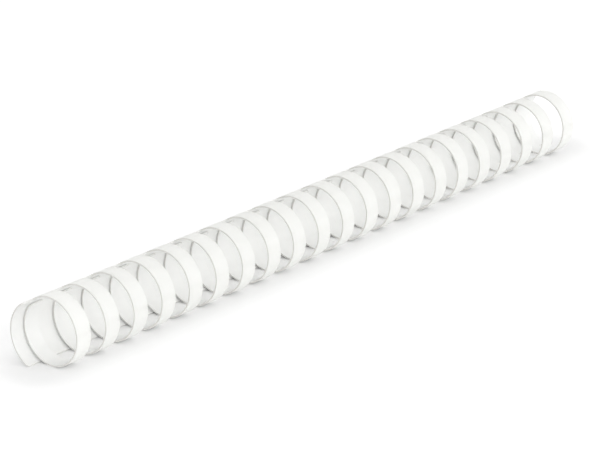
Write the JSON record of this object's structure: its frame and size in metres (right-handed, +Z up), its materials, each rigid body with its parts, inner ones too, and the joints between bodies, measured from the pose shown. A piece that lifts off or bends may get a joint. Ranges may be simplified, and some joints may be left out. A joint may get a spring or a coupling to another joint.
{
  "type": "binding comb",
  "caption": "Plastic binding comb: a curved spine strip with a row of curled fingers that flex open to take punched sheets and spring shut inside the spine.",
  "frame": {"origin": "bottom centre of the comb as it lies on a table", "axes": "+X along the comb, +Y towards the spine's side, +Z up"},
  "size_m": [0.3042, 0.0252, 0.0249],
  "materials": {
    "white_pvc": "glossy white PVC sheet, faintly translucent, with die-cut edges"
  },
  "bodies": {
    "spine": {"spine": "white_pvc"},
    "finger_01": {"finger_01": "white_pvc"},
    "finger_02": {"finger_02": "white_pvc"},
    "finger_03": {"finger_03": "white_pvc"},
    "finger_04": {"finger_04": "white_pvc"},
    "finger_05": {"finger_05": "white_pvc"},
    "finger_06": {"finger_06": "white_pvc"},
    "finger_07": {"finger_07": "white_pvc"},
    "finger_08": {"finger_08": "white_pvc"},
    "finger_09": {"finger_09": "white_pvc"},
    "finger_10": {"finger_10": "white_pvc"},
    "finger_11": {"finger_11": "white_pvc"},
    "finger_12": {"finger_12": "white_pvc"},
    "finger_13": {"finger_13": "white_pvc"},
    "finger_14": {"finger_14": "white_pvc"},
    "finger_15": {"finger_15": "white_pvc"},
    "finger_16": {"finger_16": "white_pvc"},
    "finger_17": {"finger_17": "white_pvc"},
    "finger_18": {"finger_18": "white_pvc"},
    "finger_19": {"finger_19": "white_pvc"},
    "finger_20": {"finger_20": "white_pvc"},
    "finger_21": {"finger_21": "white_pvc"},
    "fingertip_01": {"fingertip_01": "white_pvc"},
    "fingertip_02": {"fingertip_02": "white_pvc"},
    "fingertip_03": {"fingertip_03": "white_pvc"},
    "fingertip_04": {"fingertip_04": "white_pvc"},
    "fingertip_05": {"fingertip_05": "white_pvc"},
    "fingertip_06": {"fingertip_06": "white_pvc"},
    "fingertip_07": {"fingertip_07": "white_pvc"},
    "fingertip_08": {"fingertip_08": "white_pvc"},
    "fingertip_09": {"fingertip_09": "white_pvc"},
    "fingertip_10": {"fingertip_10": "white_pvc"},
    "fingertip_11": {"fingertip_11": "white_pvc"},
    "fingertip_12": {"fingertip_12": "white_pvc"},
    "fingertip_13": {"fingertip_13": "white_pvc"},
    "fingertip_14": {"fingertip_14": "white_pvc"},
    "fingertip_15": {"fingertip_15": "white_pvc"},
    "fingertip_16": {"fingertip_16": "white_pvc"},
    "fingertip_17": {"fingertip_17": "white_pvc"},
    "fingertip_18": {"fingertip_18": "white_pvc"},
    "fingertip_19": {"fingertip_19": "white_pvc"},
    "fingertip_20": {"fingertip_20": "white_pvc"},
    "fingertip_21": {"fingertip_21": "white_pvc"}
  },
  "joints": [
    {"name": "finger_01_flex", "type": "hinge", "parent": "spine", "child": "finger_01", "pos_m": [-0.14288, -0.00149, 0.02483], "axis": [-1, 0, 0], "range_deg": [0, 70], "stiffness_Nm_per_rad": 0.01, "springref_deg": -5.73},
    {"name": "fingertip_01_flex", "type": "hinge", "parent": "finger_01", "child": "fingertip_01", "pos_m": [-0.14288, 0.00082, 0.00007], "axis": [-1, 0, 0], "range_deg": [0, 35], "stiffness_Nm_per_rad": 0.01, "springref_deg": -5.73},
    {"name": "finger_02_flex", "type": "hinge", "parent": "spine", "child": "finger_02", "pos_m": [-0.12859, -0.00149, 0.02483], "axis": [-1, 0, 0], "range_deg": [0, 70], "stiffness_Nm_per_rad": 0.01, "springref_deg": -5.73},
    {"name": "fingertip_02_flex", "type": "hinge", "parent": "finger_02", "child": "fingertip_02", "pos_m": [-0.12859, 0.00082, 0.00007], "axis": [-1, 0, 0], "range_deg": [0, 35], "stiffness_Nm_per_rad": 0.01, "springref_deg": -5.73},
    {"name": "finger_03_flex", "type": "hinge", "parent": "spine", "child": "finger_03", "pos_m": [-0.1143, -0.00149, 0.02483], "axis": [-1, 0, 0], "range_deg": [0, 70], "stiffness_Nm_per_rad": 0.01, "springref_deg": -5.73},
    {"name": "fingertip_03_flex", "type": "hinge", "parent": "finger_03", "child": "fingertip_03", "pos_m": [-0.1143, 0.00082, 0.00007], "axis": [-1, 0, 0], "range_deg": [0, 35], "stiffness_Nm_per_rad": 0.01, "springref_deg": -5.73},
    {"name": "finger_04_flex", "type": "hinge", "parent": "spine", "child": "finger_04", "pos_m": [-0.10001, -0.00149, 0.02483], "axis": [-1, 0, 0], "range_deg": [0, 70], "stiffness_Nm_per_rad": 0.01, "springref_deg": -5.73},
    {"name": "fingertip_04_flex", "type": "hinge", "parent": "finger_04", "child": "fingertip_04", "pos_m": [-0.10001, 0.00082, 0.00007], "axis": [-1, 0, 0], "range_deg": [0, 35], "stiffness_Nm_per_rad": 0.01, "springref_deg": -5.73},
    {"name": "finger_05_flex", "type": "hinge", "parent": "spine", "child": "finger_05", "pos_m": [-0.08572, -0.00149, 0.02483], "axis": [-1, 0, 0], "range_deg": [0, 70], "stiffness_Nm_per_rad": 0.01, "springref_deg": -5.73},
    {"name": "fingertip_05_flex", "type": "hinge", "parent": "finger_05", "child": "fingertip_05", "pos_m": [-0.08572, 0.00082, 0.00007], "axis": [-1, 0, 0], "range_deg": [0, 35], "stiffness_Nm_per_rad": 0.01, "springref_deg": -5.73},
    {"name": "finger_06_flex", "type": "hinge", "parent": "spine", "child": "finger_06", "pos_m": [-0.07144, -0.00149, 0.02483], "axis": [-1, 0, 0], "range_deg": [0, 70], "stiffness_Nm_per_rad": 0.01, "springref_deg": -5.73},
    {"name": "fingertip_06_flex", "type": "hinge", "parent": "finger_06", "child": "fingertip_06", "pos_m": [-0.07144, 0.00082, 0.00007], "axis": [-1, 0, 0], "range_deg": [0, 35], "stiffness_Nm_per_rad": 0.01, "springref_deg": -5.73},
    {"name": "finger_07_flex", "type": "hinge", "parent": "spine", "child": "finger_07", "pos_m": [-0.05715, -0.00149, 0.02483], "axis": [-1, 0, 0], "range_deg": [0, 70], "stiffness_Nm_per_rad": 0.01, "springref_deg": -5.73},
    {"name": "fingertip_07_flex", "type": "hinge", "parent": "finger_07", "child": "fingertip_07", "pos_m": [-0.05715, 0.00082, 0.00007], "axis": [-1, 0, 0], "range_deg": [0, 35], "stiffness_Nm_per_rad": 0.01, "springref_deg": -5.73},
    {"name": "finger_08_flex", "type": "hinge", "parent": "spine", "child": "finger_08", "pos_m": [-0.04286, -0.00149, 0.02483], "axis": [-1, 0, 0], "range_deg": [0, 70], "stiffness_Nm_per_rad": 0.01, "springref_deg": -5.73},
    {"name": "fingertip_08_flex", "type": "hinge", "parent": "finger_08", "child": "fingertip_08", "pos_m": [-0.04286, 0.00082, 0.00007], "axis": [-1, 0, 0], "range_deg": [0, 35], "stiffness_Nm_per_rad": 0.01, "springref_deg": -5.73},
    {"name": "finger_09_flex", "type": "hinge", "parent": "spine", "child": "finger_09", "pos_m": [-0.02857, -0.00149, 0.02483], "axis": [-1, 0, 0], "range_deg": [0, 70], "stiffness_Nm_per_rad": 0.01, "springref_deg": -5.73},
    {"name": "fingertip_09_flex", "type": "hinge", "parent": "finger_09", "child": "fingertip_09", "pos_m": [-0.02857, 0.00082, 0.00007], "axis": [-1, 0, 0], "range_deg": [0, 35], "stiffness_Nm_per_rad": 0.01, "springref_deg": -5.73},
    {"name": "finger_10_flex", "type": "hinge", "parent": "spine", "child": "finger_10", "pos_m": [-0.01429, -0.00149, 0.02483], "axis": [-1, 0, 0], "range_deg": [0, 70], "stiffness_Nm_per_rad": 0.01, "springref_deg": -5.73},
    {"name": "fingertip_10_flex", "type": "hinge", "parent": "finger_10", "child": "fingertip_10", "pos_m": [-0.01429, 0.00082, 0.00007], "axis": [-1, 0, 0], "range_deg": [0, 35], "stiffness_Nm_per_rad": 0.01, "springref_deg": -5.73},
    {"name": "finger_11_flex", "type": "hinge", "parent": "spine", "child": "finger_11", "pos_m": [0, -0.00149, 0.02483], "axis": [-1, 0, 0], "range_deg": [0, 70], "stiffness_Nm_per_rad": 0.01, "springref_deg": -5.73},
    {"name": "fingertip_11_flex", "type": "hinge", "parent": "finger_11", "child": "fingertip_11", "pos_m": [0, 0.00082, 0.00007], "axis": [-1, 0, 0], "range_deg": [0, 35], "stiffness_Nm_per_rad": 0.01, "springref_deg": -5.73},
    {"name": "finger_12_flex", "type": "hinge", "parent": "spine", "child": "finger_12", "pos_m": [0.01429, -0.00149, 0.02483], "axis": [-1, 0, 0], "range_deg": [0, 70], "stiffness_Nm_per_rad": 0.01, "springref_deg": -5.73},
    {"name": "fingertip_12_flex", "type": "hinge", "parent": "finger_12", "child": "fingertip_12", "pos_m": [0.01429, 0.00082, 0.00007], "axis": [-1, 0, 0], "range_deg": [0, 35], "stiffness_Nm_per_rad": 0.01, "springref_deg": -5.73},
    {"name": "finger_13_flex", "type": "hinge", "parent": "spine", "child": "finger_13", "pos_m": [0.02857, -0.00149, 0.02483], "axis": [-1, 0, 0], "range_deg": [0, 70], "stiffness_Nm_per_rad": 0.01, "springref_deg": -5.73},
    {"name": "fingertip_13_flex", "type": "hinge", "parent": "finger_13", "child": "fingertip_13", "pos_m": [0.02857, 0.00082, 0.00007], "axis": [-1, 0, 0], "range_deg": [0, 35], "stiffness_Nm_per_rad": 0.01, "springref_deg": -5.73},
    {"name": "finger_14_flex", "type": "hinge", "parent": "spine", "child": "finger_14", "pos_m": [0.04286, -0.00149, 0.02483], "axis": [-1, 0, 0], "range_deg": [0, 70], "stiffness_Nm_per_rad": 0.01, "springref_deg": -5.73},
    {"name": "fingertip_14_flex", "type": "hinge", "parent": "finger_14", "child": "fingertip_14", "pos_m": [0.04286, 0.00082, 0.00007], "axis": [-1, 0, 0], "range_deg": [0, 35], "stiffness_Nm_per_rad": 0.01, "springref_deg": -5.73},
    {"name": "finger_15_flex", "type": "hinge", "parent": "spine", "child": "finger_15", "pos_m": [0.05715, -0.00149, 0.02483], "axis": [-1, 0, 0], "range_deg": [0, 70], "stiffness_Nm_per_rad": 0.01, "springref_deg": -5.73},
    {"name": "fingertip_15_flex", "type": "hinge", "parent": "finger_15", "child": "fingertip_15", "pos_m": [0.05715, 0.00082, 0.00007], "axis": [-1, 0, 0], "range_deg": [0, 35], "stiffness_Nm_per_rad": 0.01, "springref_deg": -5.73},
    {"name": "finger_16_flex", "type": "hinge", "parent": "spine", "child": "finger_16", "pos_m": [0.07144, -0.00149, 0.02483], "axis": [-1, 0, 0], "range_deg": [0, 70], "stiffness_Nm_per_rad": 0.01, "springref_deg": -5.73},
    {"name": "fingertip_16_flex", "type": "hinge", "parent": "finger_16", "child": "fingertip_16", "pos_m": [0.07144, 0.00082, 0.00007], "axis": [-1, 0, 0], "range_deg": [0, 35], "stiffness_Nm_per_rad": 0.01, "springref_deg": -5.73},
    {"name": "finger_17_flex", "type": "hinge", "parent": "spine", "child": "finger_17", "pos_m": [0.08572, -0.00149, 0.02483], "axis": [-1, 0, 0], "range_deg": [0, 70], "stiffness_Nm_per_rad": 0.01, "springref_deg": -5.73},
    {"name": "fingertip_17_flex", "type": "hinge", "parent": "finger_17", "child": "fingertip_17", "pos_m": [0.08572, 0.00082, 0.00007], "axis": [-1, 0, 0], "range_deg": [0, 35], "stiffness_Nm_per_rad": 0.01, "springref_deg": -5.73},
    {"name": "finger_18_flex", "type": "hinge", "parent": "spine", "child": "finger_18", "pos_m": [0.10001, -0.00149, 0.02483], "axis": [-1, 0, 0], "range_deg": [0, 70], "stiffness_Nm_per_rad": 0.01, "springref_deg": -5.73},
    {"name": "fingertip_18_flex", "type": "hinge", "parent": "finger_18", "child": "fingertip_18", "pos_m": [0.10001, 0.00082, 0.00007], "axis": [-1, 0, 0], "range_deg": [0, 35], "stiffness_Nm_per_rad": 0.01, "springref_deg": -5.73},
    {"name": "finger_19_flex", "type": "hinge", "parent": "spine", "child": "finger_19", "pos_m": [0.1143, -0.00149, 0.02483], "axis": [-1, 0, 0], "range_deg": [0, 70], "stiffness_Nm_per_rad": 0.01, "springref_deg": -5.73},
    {"name": "fingertip_19_flex", "type": "hinge", "parent": "finger_19", "child": "fingertip_19", "pos_m": [0.1143, 0.00082, 0.00007], "axis": [-1, 0, 0], "range_deg": [0, 35], "stiffness_Nm_per_rad": 0.01, "springref_deg": -5.73},
    {"name": "finger_20_flex", "type": "hinge", "parent": "spine", "child": "finger_20", "pos_m": [0.12859, -0.00149, 0.02483], "axis": [-1, 0, 0], "range_deg": [0, 70], "stiffness_Nm_per_rad": 0.01, "springref_deg": -5.73},
    {"name": "fingertip_20_flex", "type": "hinge", "parent": "finger_20", "child": "fingertip_20", "pos_m": [0.12859, 0.00082, 0.00007], "axis": [-1, 0, 0], "range_deg": [0, 35], "stiffness_Nm_per_rad": 0.01, "springref_deg": -5.73},
    {"name": "finger_21_flex", "type": "hinge", "parent": "spine", "child": "finger_21", "pos_m": [0.14288, -0.00149, 0.02483], "axis": [-1, 0, 0], "range_deg": [0, 70], "stiffness_Nm_per_rad": 0.01, "springref_deg": -5.73},
    {"name": "fingertip_21_flex", "type": "hinge", "parent": "finger_21", "child": "fingertip_21", "pos_m": [0.14288, 0.00082, 0.00007], "axis": [-1, 0, 0], "range_deg": [0, 35], "stiffness_Nm_per_rad": 0.01, "springref_deg": -5.73}
  ],
  "couplings": [
    {"joint": "fingertip_01_flex", "follows": "finger_01_flex", "ratio": 0.5},
    {"joint": "fingertip_02_flex", "follows": "finger_02_flex", "ratio": 0.5},
    {"joint": "fingertip_03_flex", "follows": "finger_03_flex", "ratio": 0.5},
    {"joint": "fingertip_04_flex", "follows": "finger_04_flex", "ratio": 0.5},
    {"joint": "fingertip_05_flex", "follows": "finger_05_flex", "ratio": 0.5},
    {"joint": "fingertip_06_flex", "follows": "finger_06_flex", "ratio": 0.5},
    {"joint": "fingertip_07_flex", "follows": "finger_07_flex", "ratio": 0.5},
    {"joint": "fingertip_08_flex", "follows": "finger_08_flex", "ratio": 0.5},
    {"joint": "fingertip_09_flex", "follows": "finger_09_flex", "ratio": 0.5},
    {"joint": "fingertip_10_flex", "follows": "finger_10_flex", "ratio": 0.5},
    {"joint": "fingertip_11_flex", "follows": "finger_11_flex", "ratio": 0.5},
    {"joint": "fingertip_12_flex", "follows": "finger_12_flex", "ratio": 0.5},
    {"joint": "fingertip_13_flex", "follows": "finger_13_flex", "ratio": 0.5},
    {"joint": "fingertip_14_flex", "follows": "finger_14_flex", "ratio": 0.5},
    {"joint": "fingertip_15_flex", "follows": "finger_15_flex", "ratio": 0.5},
    {"joint": "fingertip_16_flex", "follows": "finger_16_flex", "ratio": 0.5},
    {"joint": "fingertip_17_flex", "follows": "finger_17_flex", "ratio": 0.5},
    {"joint": "fingertip_18_flex", "follows": "finger_18_flex", "ratio": 0.5},
    {"joint": "fingertip_19_flex", "follows": "finger_19_flex", "ratio": 0.5},
    {"joint": "fingertip_20_flex", "follows": "finger_20_flex", "ratio": 0.5},
    {"joint": "fingertip_21_flex", "follows": "finger_21_flex", "ratio": 0.5}
  ]
}
